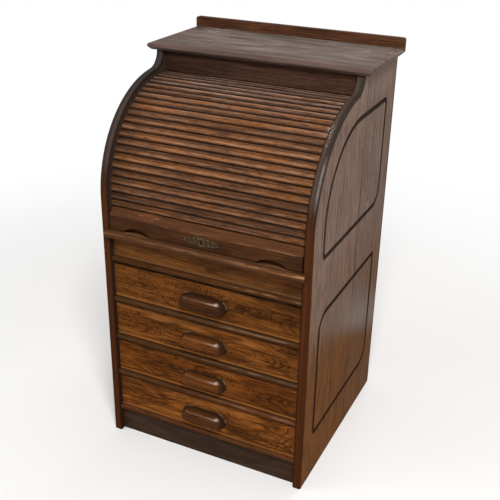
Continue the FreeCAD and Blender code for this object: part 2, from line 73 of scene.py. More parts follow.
# Each side is two boards, and the right one has a short curved scratch
board_joint_y = front + 0.312
scratch_y = 0.125
scratch_z = 0.639
scratch_bend = 0.013

# The curtain: the radius at the slats' crowns and at their backs, and the angles of its foot and its head
crown_radius = 0.255
slat_back_radius = 0.245
curtain_foot = math.radians(-4.9494)
curtain_head = math.radians(96.5292)
slat_angle = (curtain_head - curtain_foot) / slat_count

# How far one seed moves a board's figure along, across and through the tree
seed_step = (1.73, 0.61, 0.37)


class Nodes:
    """The nodes of a material or of the world."""

    def __init__(self, owner):
        owner.use_nodes = True
        self.tree = owner.node_tree
        self.tree.nodes.clear()

    def add(self, kind, inputs=(), **settings):
        """A node with its settings made and its inputs joined or set."""
        node = self.tree.nodes.new(kind)
        for key, value in settings.items():
            setattr(node, key, value)
        for key, value in dict(inputs).items():
            if isinstance(value, bpy.types.NodeSocket):
                self.tree.links.new(value, node.inputs[key])
            else:
                node.inputs[key].default_value = value
        return node

    def calc(self, operation, *values):
        return self.add("ShaderNodeMath", enumerate(values), operation=operation).outputs[0]

    def seen(self):
        """Whether a ray comes from the camera, or from it by way of a shiny or clear surface."""
        rays = self.add("ShaderNodeLightPath").outputs
        passed_on = self.calc("MAXIMUM", rays["Is Glossy Ray"], rays["Is Transmission Ray"])
        return self.calc("MAXIMUM", rays["Is Camera Ray"], passed_on)


class Finish(Nodes):
    """A finish in the making: one material, with its grain, and its colour and height so far."""

    def __init__(self, name, order=None, seed=0.0):
        self.material = bpy.data.materials.new(name)
        super().__init__(self.material)
        self.place = self.add("ShaderNodeTexCoord").outputs["Object"]
        if order:
            self.grain = self.board_place(order, seed)

    def less(self, value, taken):
        return self.calc("SUBTRACT", value, taken)

    def off(self, value, place):
        """How far a value is from a place, either way."""
        return self.calc("ABSOLUTE", self.less(value, place))

    def total(self, *values):
        """The sum of several values."""
        result = values[0]
        for value in values[1:]:
            result = self.calc("ADD", result, value)
        return result

    def product(self, *values):
        """The product of several values."""
        result = values[0]
        for value in values[1:]:
            result = self.calc("MULTIPLY", result, value)
        return result

    def weighed(self, base, *parts):
        """A base value, and each part by its weight added to it."""
        return self.total(base, *(self.product(part, weight) for part, weight in parts))

    def between(self, share, first, second):
        """A value that goes from the first to the second as the share grows."""
        return self.add("ShaderNodeMix", {0: share, 2: first, 3: second}).outputs[0]

    def vector(self, operation, *values):
        return self.add("ShaderNodeVectorMath", enumerate(values), operation=operation).outputs

    def split(self, vector):
        return self.add("ShaderNodeSeparateXYZ", {0: vector}).outputs

    def join(self, x, y, z):
        return self.add("ShaderNodeCombineXYZ", {0: x, 1: y, 2: z}).outputs[0]

    def coords(self, letters):
        """The object's own coordinates along the axes that the letters name."""
        axes = dict(zip("xyz", self.split(self.place)))
        return [axes[letter] for letter in letters]

    def noise(self, vector, counts, detail=3.0, roughness=0.55, distortion=0.0):
        """Cloudy noise, with so many clouds a metre along the first axis and across it."""
        along, across = counts
        inputs = {"Vector": self.vector("MULTIPLY", vector, (along, across, across))[0], "Scale": 1.0,
                  "Detail": detail, "Roughness": roughness, "Distortion": distortion}
        return self.add("ShaderNodeTexNoise", inputs).outputs[0]

    def patches(self, vector, counts, start, end, **settings):
        """Patches where cloudy noise passes a soft step."""
        return self.fade(self.noise(vector, counts, **settings), start, end)

    def fade(self, value, start, end, low=0.0, high=1.0):
        """A soft step from low to high."""
        inputs = {0: value, 1: start, 2: end, 3: low, 4: high}
        return self.add("ShaderNodeMapRange", inputs, interpolation_type="SMOOTHSTEP").outputs[0]

    def fall(self, value, start, end):
        """A soft step from one to nothing."""
        return self.fade(value, start, end, 1.0, 0.0)

    def band(self, value, rise, drop):
        """A soft band: a step up over the rise and a step down over the drop."""
        return self.product(self.fade(value, *rise), self.fall(value, *drop))

    def tint(self, colour):
        return colour if isinstance(colour, bpy.types.NodeSocket) else (*colour, 1.0)

    def blend(self, share, first, second, kind="MIX"):
        """A colour that goes from the first to the second as the share grows."""
        inputs = {0: share, 6: self.tint(first), 7: self.tint(second)}
        return self.add("ShaderNodeMix", inputs, data_type="RGBA", blend_type=kind).outputs[2]

    def lay(self, tone, *shares):
        """Lays a tone over the colour so far, as strongly as its shares multiplied."""
        self.colour = self.blend(self.product(*shares), self.colour, tone)

    def wear(self, reach, bare, amount):
        """Rubs the wood paler where reach is near one, broken up by the grain; some callers use it to paint a
        highlight.
        """
        self.lay(bare, reach, self.patches(self.grain, (26.0, 210.0), 0.38, 0.66, detail=4.0), amount)

    def scratch(self, reach):
        """Leaves fine pale scratches where reach is near one."""
        scratches = self.patches(self.place, (420.0, 190.0), 0.54, 0.60, detail=4.0, roughness=0.7)
        self.lay((0.40, 0.35, 0.29), reach, scratches, 0.75)

    def board_place(self, order, seed):
        """Coordinates along the grain, across it and through the board, moved to another part of the tree."""
        moved = tuple(seed * step for step in seed_step)
        return self.vector("ADD", self.join(*self.coords(order)), moved)[0]

    def curtain_place(self):
        """The angle round the curtain's axis from its foot, and the radius."""
        y, z = self.coords("yz")
        forward = self.less(axis_y, y)
        upward = self.less(z, axis_z)
        angle = self.less(self.calc("ARCTAN2", upward, forward), curtain_foot)
        radius = self.calc("SQRT", self.total(self.product(forward, forward), self.product(upward, upward)))
        return angle, radius

    def arris(self, low, high):
        """How far a point on a square board is from the nearest arris."""
        middle = (low + high) / 2
        half = (high - low) / 2
        offset = self.vector("ABSOLUTE", self.vector("SUBTRACT", self.place, middle)[0])[0]
        x, y, z = self.split(self.vector("SUBTRACT", half, offset)[0])
        nearer = self.calc("MINIMUM", x, y)
        farther = self.calc("MAXIMUM", x, y)
        return self.calc("MAXIMUM", nearer, self.calc("MINIMUM", farther, z))

    def surface(self, roughness, specular, bump=0.5, metallic=0.0):
        """The surface, with the colour and the height in millimetres that were made before."""
        lift = self.product(self.height, millimetre)
        normal = self.add("ShaderNodeBump", {"Strength": bump, "Distance": 1.0, "Height": lift}).outputs[0]
        return self.add("ShaderNodeBsdfPrincipled", {
            "Base Color": self.colour, "Roughness": roughness, "Normal": normal, "Metallic": metallic,
            "Specular IOR Level": specular}).outputs[0]

    def output(self, surface):
        self.add("ShaderNodeOutputMaterial", {"Surface": surface})
        return self.material

    def done(self, *looks, **more_looks):
        """The finished material."""
        return self.output(self.surface(*looks, **more_looks))


# Oak finishes


def oak(look, pale, deep, line, rings=110.0, sway=7.0, sway_length=2.4, ring_depth=0.5,
        ring_start=0.40, flame=0.3, flame_size=(11.0, 110.0), stain=0.5, fleck=0.0, dash=0.5,
        dash_size=(36.0, 560.0)):
    """Oak's figure: swaying growth rings, flames, streaks, dashes, stains, flecks and pores.

    It makes the colour and the height, and gives the streaks."""
    grain = look.grain
    across, through = look.split(grain)[1:]
    bend = look.noise(grain, (sway_length, 9.0), detail=2.0)
    phase = look.weighed(0.0, (across, rings), (through, rings * 0.35), (bend, sway))
    late = look.band(look.calc("FRACT", phase), (ring_start, 0.90), (0.92, 1.0))
    rings_seen = look.product(late, look.patches(grain, (4.0, 30.0), 0.36, 0.60, detail=2.0))
    flames = look.patches(grain, flame_size, 0.48, 0.72, detail=4.0, roughness=0.6, distortion=1.0)
    streaks = look.noise(grain, (8.0, 300.0), detail=4.0, roughness=0.65)
    dashes = look.patches(grain, dash_size, 0.50, 0.64, roughness=0.6, distortion=0.4)
    stains = look.patches(grain, (7.0, 17.0), 0.48, 0.68, distortion=0.6)
    pores = look.patches(grain, (75.0, 1500.0), 0.58, 0.70, detail=2.0)
    look.colour = look.blend(look.fade(streaks, 0.34, 0.66), deep, pale)
    for marks, strength in ((rings_seen, ring_depth), (flames, flame), (stains, stain), (dashes, dash)):
        look.lay(line, marks, strength)
    if fleck:
        flecked = look.patches(grain, (5.0, 11.0), 0.45, 0.65, detail=1.0)
        flecks = look.patches(grain, (260.0, 70.0), 0.55, 0.66, detail=2.0)
        look.lay(line, flecked, flecks, fleck)
    look.lay(line, pores, 0.5)
    look.height = look.weighed(0.0, (streaks, 0.12), (rings_seen, -0.10), (dashes, -0.12), (pores, -0.25))
    return streaks


def lay_figure(look, middle, figure, line, bare):
    """Lays a figure in a board's face: dark nested arches or a plain golden patch."""
    kind, along, up, length, height, strength = figure
    x, z = look.coords("xz")
    side = look.product(look.total(x, -middle.x - along * millimetre), 1 / (length * millimetre))
    rise = look.product(look.total(z, -middle.z - up * millimetre), 1 / (height * millimetre))
    warp = look.noise(look.grain, (16.0, 45.0))
    rise_squared = look.product(rise, rise)
    reach = look.calc("SQRT", look.total(look.product(side, side), rise_squared))
    patch = look.fall(look.total(reach, look.product(warp, 1.1), -0.5), 0.35, 1.15)
    if kind == "gold":
        look.lay(bare, patch, strength)
        return
    ring = look.calc("FRACT", look.product(look.total(side, rise_squared, warp), 2.6))
    late = look.band(ring, (0.30, 0.75), (0.85, 1.0))
    look.lay(line, patch, look.weighed(0.30, (late, 0.70)), strength)


def board_finish(
        name, node, order, seed, pale, deep, line, bare, wear=0.6, grime_and_edge_shade=0.0, specular=0.06, rough=0.46,
        figures=(), crest=0.0, foot=0.0, rail_shadow=0.0, left_shade=0.0, **oak_figure):
    """A square board, with figures in its face, its arrises worn pale, and smudges in from its edges with
    painted shade along them.

    Crest and foot are pale bands along its top and bottom, painted light with some rubbing at the crest, the
    rail line is a painted shadow in the gap under a rail, and the left shade is painted shade towards its
    left end."""
    look = Finish(name, order, seed)
    streaks = oak(look, pale, deep, line, **oak_figure)
    low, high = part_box(node)
    for figure in figures:
        lay_figure(look, (low + high) / 2, figure, line, bare)
    x, z = look.coords("xz")
    from_top = look.less(high.z, z)
    # A pale band below the top edge: painted light against the rail's shadow, with some rubbing.
    if crest:
        upper = look.band(from_top, (0.0040, 0.0056), (0.009, 0.016))
        look.lay(bare, upper, look.fall(x, 0.04, 0.16), crest)
    # A pale band along the bottom edge: painted light.
    if foot:
        look.lay(bare, look.fall(look.less(z, low.z), 0.003, 0.008), foot)
    # A painted shadow under the rail: a soft dark band and a near-black line below the top edge.
    if rail_shadow:
        look.lay(line, look.fall(from_top, 0.0040, 0.0140), 0.22)
        look.lay((0.012, 0.005, 0.002), look.fall(from_top, 0.0034, 0.0054), rail_shadow)
    if left_shade:
        look.lay(line, look.fall(x, low.x, 0.0), left_shade)
    from_edge = look.arris(low, high)
    # Smudges of grime in from the edges, and painted shade along the arrises.
    if grime_and_edge_shade:
        smudges = look.patches(look.grain, (14.0, 40.0), 0.30, 0.62, detail=4.0)
        look.lay(line, look.fall(from_edge, 0.003, 0.022), smudges, grime_and_edge_shade)
        look.lay(line, look.fall(from_edge, 0.0008, 0.0026), grime_and_edge_shade)
    edge = look.fall(from_edge, 0.0004, 0.0030)
    look.wear(edge, bare, wear)
    roughness = look.weighed(rough, (streaks, 0.16), (edge, -0.1))
    return look.done(roughness, specular)


def slat_shade(look, up_slat, steep, level):
    """How light falls over a slat's round: from below on the steep slats and from above on the level ones."""
    lit_below = look.product(
        look.fade(up_slat, 0.02, 0.34, 0.56, 1.08), look.fade(up_slat, 0.36, 0.66, 1.0, 0.66))
    lit_above = look.fade(up_slat, 0.02, 0.62, 0.34, 1.0)
    lit_top = look.fade(up_slat, 0.10, 0.66, 0.22, 1.70)
    return look.between(steep, look.between(level, lit_above, lit_top), lit_below)


def slat_finish():
    """Slats: each from its own stick, with painted light and shade over each round, a painted highlight on
    the round that faces the light, dark joints, painted shade and dust towards the left end, and a grey
    painted sheen near the top.

    Heights up the curtain are counted in slats from its foot."""
    look = Finish("slat_oak")
    [x] = look.coords("x")
    angle, radius = look.curtain_place()
    slats_up = look.calc("DIVIDE", angle, slat_angle)
    stick = look.calc("FLOOR", slats_up)
    up_slat = look.calc("FRACT", slats_up)
    chance = look.add("ShaderNodeTexWhiteNoise", {"W": stick}, noise_dimensions="1D").outputs[0]
    up_curtain = look.product(angle, crown_radius)
    look.grain = look.join(
        look.weighed(x, (stick, 1.37)), look.weighed(up_curtain, (stick, 0.211)), radius)
    curtain = look.join(x, up_curtain, 0.0)
    golden = look.patches(curtain, (7.0, 30.0), 0.42, 0.66, detail=5.0, roughness=0.65)
    # Greyer and less red towards the top of the curtain: a painted sheen.
    upper = look.fade(slats_up, 13.0, 20.0)
    redness = look.product(
        golden, look.fade(chance, 0.15, 0.7, 0.35, 1.0), look.fade(upper, 0.0, 1.0, 1.0, 0.55))
    plain = look.blend(upper, (0.215, 0.094, 0.043), (0.305, 0.203, 0.158))
    pale = look.blend(redness, plain, (0.335, 0.122, 0.031))
    deep = look.blend(redness, (0.098, 0.044, 0.024), (0.138, 0.047, 0.015))
    streaks = oak(
        look, pale, deep, (0.026, 0.011, 0.006), rings=200.0, sway=6.0, ring_depth=0.4, stain=0.4,
        fleck=0.35, dash=0.7, dash_size=(45.0, 420.0))
    # The wear on each round is a painted highlight where the light falls: the lower round on the steep slats,
    # the upper round on the level ones.
    steep = look.fall(slats_up, 11.0, 15.0)
    upper_round = look.band(up_slat, (0.50, 0.66), (0.80, 0.92))
    lower_round = look.band(up_slat, (0.14, 0.28), (0.42, 0.56))
    crown_highlight = look.between(steep, upper_round, lower_round)
    look.wear(crown_highlight, (0.29, 0.150, 0.082), 0.6)
    # Tone that differs from slat to slat and up the curtain, painted light and shade over each round, and
    # painted shade and dust towards the left end.
    tone = look.product(
        look.fade(chance, 0.0, 1.0, 0.80, 1.22), look.fade(slats_up, 3.0, 14.0, 0.84, 1.06),
        slat_shade(look, up_slat, steep, look.fade(slats_up, 15.0, 19.0)),
        look.fade(x, -0.250, -0.170, 0.72, 1.0))
    shade = look.add("ShaderNodeCombineColor", {0: tone, 1: tone, 2: tone}).outputs[0]
    look.colour = look.blend(1.0, look.colour, shade, "MULTIPLY")
    joint = look.fall(radius, crown_radius - 0.0042, crown_radius - 0.0012)
    look.lay((0.010, 0.005, 0.003), joint, 0.88)
    scuffed = look.product(look.fade(x, 0.238, 0.250), look.band(slats_up, (13.0, 13.6), (14.8, 15.6)))
    look.scratch(scuffed)
    roughness = look.weighed(0.34, (streaks, 0.2), (joint, 0.3))
    return look.done(roughness, specular=0.05)


def side_edge(look):
    """How far a point on a side is from its outline, along its front, its round and its neck."""
    y, z = look.coords("yz")
    straight = look.less(y, front)
    round_part = look.less(side_radius, look.curtain_place()[1])
    from_neck = look.vector("DISTANCE", look.join(0.0, y, z), (0.0, neck_y, neck_z))["Value"]
    neck_part = look.less(from_neck, neck_radius)
    rearward = look.calc("GREATER_THAN", y, neck_y)
    above = look.calc("GREATER_THAN", z, axis_z)
    return look.between(above, straight, look.between(rearward, round_part, neck_part))


def front_edge_tone(look, depth, streaks):
    """The tone of a side's polished front edge: red below, a grey painted reflection above, and painted shade
    at the bend and the left neck.
    """
    x, z = look.coords("xz")
    sheen_above = look.fade(z, 0.725, 0.785)
    outer_part = look.blend(sheen_above, (0.058, 0.0162, 0.0042), (0.034, 0.0255, 0.0215))
    inner_part = look.blend(sheen_above, (0.071, 0.0200, 0.0054), (0.066, 0.0445, 0.0350))
    tone = look.blend(look.fade(depth, 0.007, 0.013), outer_part, inner_part)
    tone = look.blend(look.fade(streaks, 0.35, 0.65, 0.35, 0.0), tone, (0.020, 0.010, 0.007))
    left_neck = look.product(look.fade(z, 0.895, 0.950), look.fall(x, -0.01, 0.0), 0.55)
    tone = look.blend(left_neck, tone, (0.026, 0.024, 0.023))
    bend = look.product(look.band(z, (0.690, 0.735), (0.745, 0.800)), 0.60)
    return look.blend(bend, tone, (0.028, 0.013, 0.008))


def mark_right_side(look, right, on_face, edge, depth):
    """A painted highlight along the right side's front edge, and marks of use: scuffs there and a curved
    scratch.
    """
    y, z = look.coords("yz")
    gleam = look.product(
        right, look.fall(edge, 0.002, 0.005), look.band(depth, (0.0016, 0.0036), (0.0064, 0.0096)),
        look.band(z, (0.75, 0.80), (0.84, 0.88)), look.noise(look.place, (160.0, 90.0), detail=4.0))
    look.lay((0.30, 0.25, 0.22), gleam, 0.75)
    scuffed = look.product(
        right, look.fall(edge, 0.005, 0.012), look.fade(depth, 0.008, 0.014),
        look.band(z, (0.882, 0.894), (0.918, 0.932)))
    look.scratch(scuffed)
    from_scratch = look.vector("DISTANCE", look.join(0.0, y, z), (0.0, scratch_y, scratch_z))["Value"]
    scratch = look.product(
        right, on_face, look.fall(look.off(from_scratch, scratch_bend), 0.0008, 0.0022),
        look.fall(y, scratch_y - 0.004, scratch_y + 0.002))
    look.lay((0.52, 0.47, 0.42), scratch, 0.75)


def side_finish(name, seed):
    """Sides: upright grain, a joint between two boards, cut lines painted dark as shade in the grooves, and
    polished front edges, with painted sheen on the faces and painted shade along the rear and inner edges.
    """
    look = Finish(name, "zyx", seed)
    x, y, z = look.coords("xyz")
    # Paler and greyer upwards: a painted sheen, the reflection of the pale surround.
    upward_sheen = look.fade(z, 0.25, 0.66)
    pale = look.blend(upward_sheen, (0.205, 0.081, 0.024), (0.290, 0.190, 0.143))
    deep = look.blend(upward_sheen, (0.145, 0.056, 0.016), (0.205, 0.135, 0.103))
    line = look.blend(upward_sheen, (0.060, 0.024, 0.010), (0.084, 0.055, 0.042))
    streaks = oak(
        look, pale, deep, line, rings=60.0, sway=6.0, sway_length=1.3, ring_depth=0.35, flame=0.4,
        flame_size=(7.0, 90.0), stain=0.25, dash=0.7, dash_size=(16.0, 230.0))
    rear_board = look.calc("GREATER_THAN", y, board_joint_y)
    look.lay((0.085, 0.062, 0.054), rear_board, 0.16)
    # Paler and greyer still near the top: painted sheen.
    look.lay((0.40, 0.30, 0.25), look.fade(z, 0.90, 0.97), 0.22)
    depth = look.less(outer_half, look.calc("ABSOLUTE", x))
    edge = side_edge(look)
    face = look.fade(edge, 0.010, 0.020)
    on_face = look.product(face, look.fall(depth, 0.0001, 0.0005))
    # The cut lines painted near black: painted shade in the grooves.
    cut = look.product(face, look.band(depth, (0.0001, 0.0009), (0.006, 0.008)))
    seam = look.product(
        look.fall(look.off(y, board_joint_y), 0.0012, 0.0036), look.fall(depth, 0.0002, 0.0006))
    look.lay((0.022, 0.012, 0.008), seam, 0.72)
    look.lay((0.014, 0.009, 0.007), cut, 0.90)
    specks = look.patches(look.place, (330.0, 330.0), 0.70, 0.76, detail=1.0)
    dusty = look.product(on_face, specks, rear_board, look.fade(z, 0.66, 0.72))
    look.lay((0.55, 0.52, 0.48), dusty, 0.5)
    right = look.fade(x, 0.0, 0.01)
    # A pale band across the lower right face: a painted sheen.
    above_sheen_band = look.total(z, look.product(y, 0.46), -0.366)
    sheen_band = look.product(
        right, on_face, look.band(above_sheen_band, (-0.075, 0.0), (0.0, 0.145)),
        look.fade(y, -0.18, 0.14, 0.10, 0.34), look.fade(streaks, 0.3, 0.7, 0.7, 1.1))
    look.lay((0.34, 0.35, 0.34), sheen_band)
    # The front edges take their tone, with painted reflection and shade.
    edge_tone_and_sheen = front_edge_tone(look, depth, streaks)
    look.lay(edge_tone_and_sheen, look.fall(edge, 0.003, 0.008), 0.98)
    # A dark line along the rear edge: painted shade.
    rear_edge_shade = look.fade(y, side_high.y - 0.011, side_high.y - 0.004)
    look.lay((0.024, 0.015, 0.011), rear_edge_shade, 0.6)
    mark_right_side(look, right, on_face, edge, depth)
    # The inner face painted dark: painted shade.
    look.lay((0.016, 0.009, 0.006), look.fade(depth, 0.0175, 0.0205), 0.85)
    look.height = look.weighed(look.height, (seam, -0.4))
    roughness = look.weighed(0.40, (streaks, 0.18), (cut, 0.2))
    return look.done(roughness, specular=0.005)


def top_finish():
    """The top: painted grey across its middle as a reflection of the pale surround, with long streaks, a
    browner border, painted shade under its front edge, and dusty scratches near its ends.
    """
    look = Finish("top_oak", "xyz", 43.0)
    low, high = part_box("top_board")
    x, y = look.coords("xy")
    from_front = look.less(y, low.y)
    from_end = look.less(high.x, look.calc("ABSOLUTE", x))
    ragged = look.product(look.noise(look.grain, (9.0, 60.0), detail=4.0), 0.07)
    border = look.less(look.calc("MINIMUM", from_front, from_end), ragged)
    # The grey across the middle is a painted reflection of the pale surround; the border keeps a browner
    # tone.
    browned = look.fall(border, -0.022, 0.050)
    pale = look.blend(browned, (0.278, 0.225, 0.195), (0.200, 0.136, 0.111))
    deep = look.blend(browned, (0.086, 0.064, 0.052), (0.070, 0.045, 0.036))
    streaks = oak(
        look, pale, deep, (0.050, 0.032, 0.025), rings=48.0, sway=4.0, sway_length=1.0,
        ring_depth=0.45, flame=0.55, flame_size=(5.0, 48.0), stain=0.35, dash=0.6, dash_size=(9.0, 130.0))
    scratches = look.patches(look.grain, (70.0, 260.0), 0.50, 0.62, detail=5.0, roughness=0.7)
    rear_left = look.product(
        look.band(x, (-0.275, -0.245), (-0.190, -0.150)), look.fade(y, 0.185, 0.225))
    right_end = look.product(look.fade(x, 0.170, 0.240), look.fade(y, 0.100, 0.180), 0.5)
    dusty = look.calc("MAXIMUM", rear_left, right_end)
    look.lay((0.47, 0.39, 0.33), dusty, scratches, 0.85)
    # The front edge darker: painted shade.
    look.lay((0.084, 0.054, 0.044), look.fall(from_front, 0.004, 0.011), 0.55)
    roughness = look.weighed(0.40, (streaks, 0.16))
    return look.done(roughness, specular=0.02)


def nosing_finish():
    """The nosing: a painted highlight along its upper round, pale orange brown at its right end, and painted
    shade along its underside.
    """
    look = Finish("nosing_oak", "xzy", 3.0)
    streaks = oak(
        look, (0.112, 0.045, 0.018), (0.066, 0.025, 0.010), (0.024, 0.010, 0.005),
        rings=160.0, sway=4.0, ring_depth=0.3, stain=0.3)
    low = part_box("bed_nosing")[0]
    x, y, z = look.coords("xyz")
    # A painted highlight along the upper round, stronger and orange brown at the right end.
    upper_round = look.product(
        look.fall(y, low.y + 0.001, low.y + 0.007), look.fade(z, low.z + 0.010, low.z + 0.015))
    right_end = look.product(look.fade(x, 0.05, 0.25), upper_round)
    look.wear(upper_round, (0.20, 0.105, 0.058), 0.45)
    look.wear(right_end, (0.38, 0.170, 0.064), 0.9)
    # Painted shade along the underside.
    look.lay((0.035, 0.015, 0.007), look.fall(z, low.z + 0.004, low.z + 0.011), 0.45)
    roughness = look.weighed(0.36, (streaks, 0.2))
    return look.done(roughness, specular=0.03)


# The left and the right tone of each drawer rail, from the top rail down to the bottom's edge
rail_tones = (
    ((0.080, 0.031, 0.0105), (0.094, 0.038, 0.0140)), ((0.082, 0.037, 0.0150), (0.102, 0.041, 0.0150)),
    ((0.090, 0.037, 0.0125), (0.082, 0.037, 0.0145)), ((0.090, 0.036, 0.0130), (0.156, 0.053, 0.0200)),
    ((0.124, 0.042, 0.0160), (0.132, 0.048, 0.0170)))
rail_reach = 0.012


def rail_middle(number):
    """The height of the middle of the rail under a drawer, or of the top rail for number 0."""
    if number == drawer_count:
        low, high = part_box("bottom_board")
        return (low.z + high.z) / 2
    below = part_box("drawer_%d_front" % (number + 1))[1].z
    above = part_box("drawer_%d_front" % number)[0].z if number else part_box("apron")[0].z
    return (below + above) / 2


def rail_finish():
    """The drawer rails and the bottom's edge: each of its own tone, with soiling and painted shade above,
    painted shadow and shade below, a painted highlight line, and chips along the top rail.
    """
    look = Finish("rail_oak", "xzy", 7.0)
    x, y, z = look.coords("xyz")
    rightward = look.fade(x, -0.20, 0.20)
    pale = rail_tones[0][0]
    offset = 1.0
    for number, (left, right) in enumerate(rail_tones):
        above_middle = look.less(z, rail_middle(number))
        here = look.calc("LESS_THAN", look.calc("ABSOLUTE", above_middle), rail_reach)
        pale = look.blend(here, pale, look.blend(rightward, left, right))
        offset = look.between(here, offset, above_middle)
    deep = look.blend(1.0, pale, (0.62, 0.62, 0.62), "MULTIPLY")
    streaks = oak(
        look, pale, deep, (0.020, 0.009, 0.004), rings=150.0, sway=4.0, ring_depth=0.3, stain=0.4)
    top_rail_foot = rail_middle(0) - rail_reach
    bottom_edge_top = rail_middle(drawer_count) + rail_reach
    top_rail = look.calc("GREATER_THAN", z, top_rail_foot)
    bottom_edge = look.calc("LESS_THAN", z, bottom_edge_top)
    between_drawers = look.product(
        look.calc("LESS_THAN", z, top_rail_foot), look.calc("GREATER_THAN", z, bottom_edge_top))
    # Soiling and painted shade along the rails' upper round; a painted shadow under the top rail; painted
    # shade on the lower round of the rails between drawers and at the bottom's edge.
    dirt_and_shade = look.product(
        look.fade(offset, 0.0052, 0.0076), look.fade(between_drawers, 0.0, 1.0, 0.25, 1.0))
    under = look.product(top_rail, look.fall(offset, -0.0036, -0.0014))
    lower = look.product(between_drawers, look.fall(offset, -0.0058, -0.0034))
    footed = look.product(bottom_edge, look.fall(offset, -0.0050, 0.0030))
    for shaded, strength, tone in (
            (dirt_and_shade, 0.45, (0.014, 0.007, 0.003)), (under, 0.97, (0.007, 0.003, 0.001)),
            (lower, 0.5, (0.030, 0.012, 0.004)), (footed, 0.85, (0.034, 0.015, 0.006))):
        look.lay(tone, shaded, strength)
    # A painted highlight line along the rails between drawers, brighter to the right, and chips along the top
    # rail's upper edge.
    nosed = look.fall(y, front + 0.0040, front + 0.0072)
    painted_highlight = look.product(
        nosed, between_drawers, look.band(offset, (0.0004, 0.0020), (0.0040, 0.0056)),
        look.fade(x, -0.12, 0.14, 0.10, 1.0))
    look.wear(painted_highlight, (0.200, 0.118, 0.070), 0.85)
    chipped = look.product(
        nosed, top_rail, look.band(offset, (0.0030, 0.0044), (0.0062, 0.0074)), look.fade(x, 0.02, 0.14))
    look.wear(chipped, (0.220, 0.120, 0.058), 0.85)
    # Darker further back from the front: painted shade inside the case.
    look.lay((0.05, 0.028, 0.016), look.fade(y, front + 0.012, front + 0.03), 0.6)
    roughness = look.weighed(0.36, (streaks, 0.2))
    return look.done(roughness, specular=0.01)


def lift_rail_finish():
    """The lift rail: a reddish bevel painted a little paler as lit from above, with a scuffed patch, and a
    browner face below a pale arris, worn and painted with a highlight.
    """
    look = Finish("lift_rail_oak", "xzy", 11.0)
    streaks = oak(
        look, (0.092, 0.036, 0.013), (0.048, 0.017, 0.006), (0.020, 0.008, 0.004),
        rings=95.0, ring_depth=0.4, flame=0.35)
    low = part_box("lift_rail")[0]
    bevel_foot = low.z + 0.041
    x, z = look.coords("xz")
    # The bevel painted a little paler: painted light, as it tilts up to the light.
    bevel = look.fade(z, bevel_foot - 0.002, bevel_foot + 0.002)
    look.lay((0.150, 0.062, 0.030), bevel, 0.2)
    # A pale line along the arris: wear, and a painted highlight.
    arris = look.product(
        look.fall(look.off(z, bevel_foot), 0.0005, 0.0022), look.fade(x, -0.2, 0.1))
    look.wear(arris, (0.25, 0.130, 0.068), 0.55)
    patch = look.product(
        look.band(x, (-0.185, -0.165), (-0.130, -0.105)),
        look.fade(z, bevel_foot + 0.001, bevel_foot + 0.008))
    chips = look.patches(look.grain, (45.0, 330.0), 0.46, 0.70, detail=4.0)
    look.lay((0.30, 0.095, 0.034), patch, chips, 0.7)
    look.lay((0.026, 0.012, 0.006), look.fall(z, low.z, low.z + 0.010), 0.35)
    roughness = look.weighed(0.38, (streaks, 0.2))
    return look.done(roughness, specular=0.03)


def pull_finish(number, pale, deep):
    """A pull, darker near the drawer face with grime and painted shade, with painted shade on its right end
    and a painted highlight along its ridge that grows bright towards the right end.
    """
    look = Finish("pull_oak_%d" % number, "xzy", 20.0 + number)
    streaks = oak(
        look, pale, deep, (0.018, 0.007, 0.003), rings=120.0, sway=5.0, ring_depth=0.4, flame=0.4,
        stain=0.4)
    low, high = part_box("drawer_%d_handle" % number)
    x, y, z = look.coords("xyz")
    # Darker towards the drawer face: grime and painted shade; painted shade on the right end.
    look.lay((0.018, 0.009, 0.005), look.fade(y, high.y - 0.019, high.y - 0.007), 0.75)
    look.lay((0.022, 0.012, 0.007), look.fade(x, 0.0470, 0.0560), 0.65)
    # A painted highlight along the ridge, brighter towards the right end, with a brighter painted point near
    # it.
    ridge_drop = look.fade(x, 0.043, 0.062, 0.0, 0.008)
    from_ridge = look.calc("ABSOLUTE", look.total(z, ridge_drop, 0.0070 - high.z))
    forward = look.fall(y, low.y + 0.008, low.y + 0.014)
    ridge = look.product(
        look.fall(from_ridge, 0.0004, 0.0030), forward, look.band(x, (-0.060, -0.040), (0.046, 0.053)),
        look.fade(x, -0.03, 0.045, 0.6, 1.0))
    painted_highlight = look.blend(look.fade(x, 0.008, 0.046), (0.165, 0.090, 0.050), (0.340, 0.265, 0.205))
    broken = look.fade(look.noise(look.grain, (26.0, 210.0), detail=4.0), 0.30, 0.60, 0.55, 1.0)
    look.lay(painted_highlight, ridge, broken, 0.8)
    highlight_spot = look.product(
        look.fall(look.off(x, 0.0435), 0.0012, 0.0044), look.fall(from_ridge, 0.0010, 0.0040), forward)
    look.lay((0.50, 0.43, 0.37), highlight_spot, 0.42)
    round_seat = look.product(
        look.fade(y, high.y - 0.0046, high.y - 0.0030), look.fade(z, low.z + 0.006, low.z + 0.016),
        look.fade(look.calc("ABSOLUTE", x), 0.030, 0.046),
        look.patches(look.place, (120.0, 120.0), 0.40, 0.62))
    look.lay((0.25, 0.17, 0.11), round_seat, 0.5)
    roughness = look.weighed(0.20, (streaks, 0.10))
    return look.done(roughness, specular=0.02, bump=0.3)


def inner_finish(name, order, seed, pale, deep, line, **oak_figure):
    """Raw wood inside the desk: dry, dusty and unstained."""
    look = Finish(name, order, seed)
    streaks = oak(look, pale, deep, line, **oak_figure)
    dust = look.patches(look.grain, (7.0, 11.0), 0.45, 0.75, detail=4.0)
    look.lay((0.20, 0.15, 0.10), dust, 0.35)
    roughness = look.weighed(0.62, (streaks, 0.25))
    return look.done(roughness, specular=0.2)


# Other finishes


